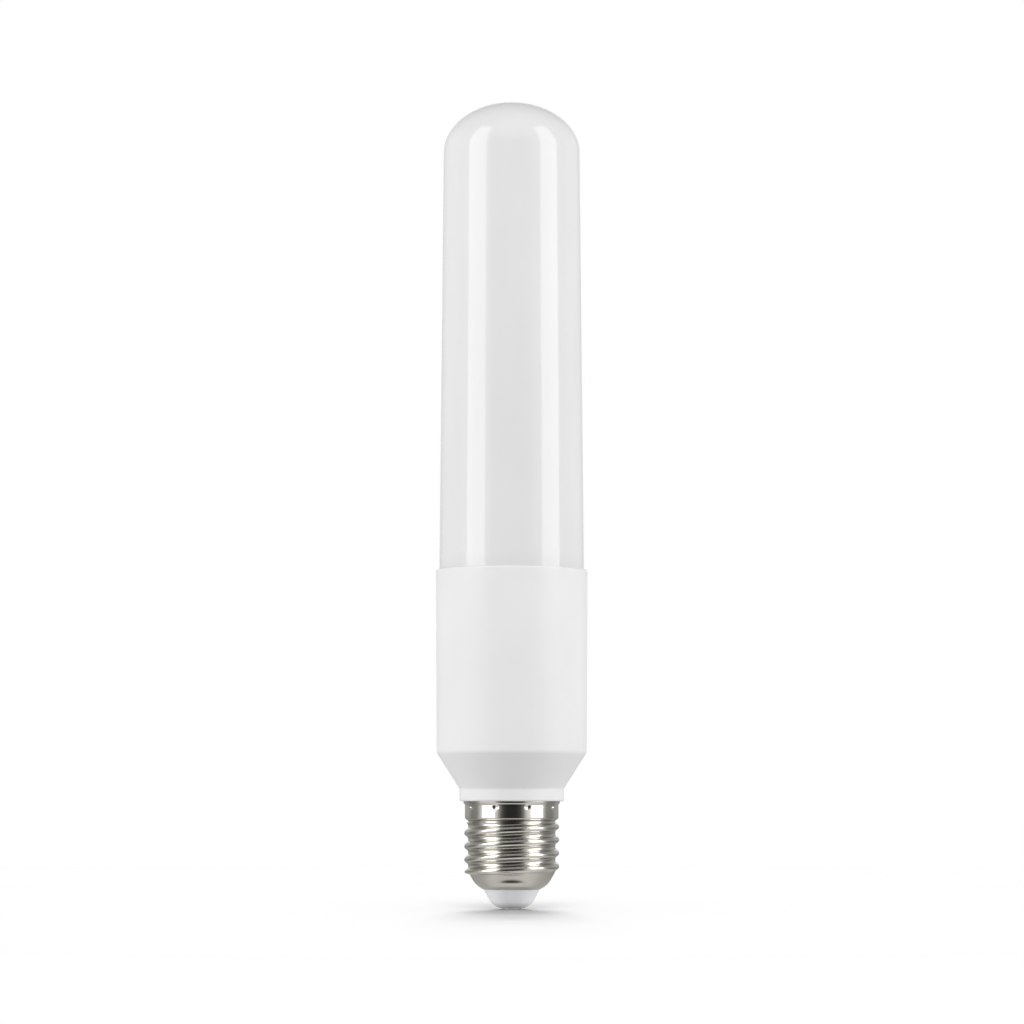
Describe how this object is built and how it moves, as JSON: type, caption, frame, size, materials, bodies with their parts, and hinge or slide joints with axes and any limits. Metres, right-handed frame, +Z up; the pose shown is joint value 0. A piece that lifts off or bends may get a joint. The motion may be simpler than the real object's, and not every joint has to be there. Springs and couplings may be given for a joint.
{
  "type": "tubular light bulb",
  "caption": "Tubular lamp with an opal diffuser and domed end, a white housing that tapers to a neck, and a nickel screw base with a centre contact.",
  "frame": {"origin": "middle of the centre contact's flat face, the lamp's lowest point when it stands on its base", "axes": "+Z up the lamp's axis from the contact to the dome, -Y towards the camera of the picture, +X to its right"},
  "size_m": [0.042, 0.042, 0.224],
  "materials": {
    "opal_plastic": "opal moulding with a smooth satin gloss",
    "white_plastic": "white moulding with a fine matte texture",
    "nickel_plate": "bright nickel plate over drawn sheet",
    "insulator_plastic": "white moulding with a dull gloss",
    "contact_metal": "plated and lightly scuffed"
  },
  "bodies": {
    "root": {"diffuser": "opal_plastic", "housing": "white_plastic", "screw_shell": "nickel_plate", "base_insulator": "insulator_plastic", "centre_contact": "contact_metal"}
  },
  "joints": []
}
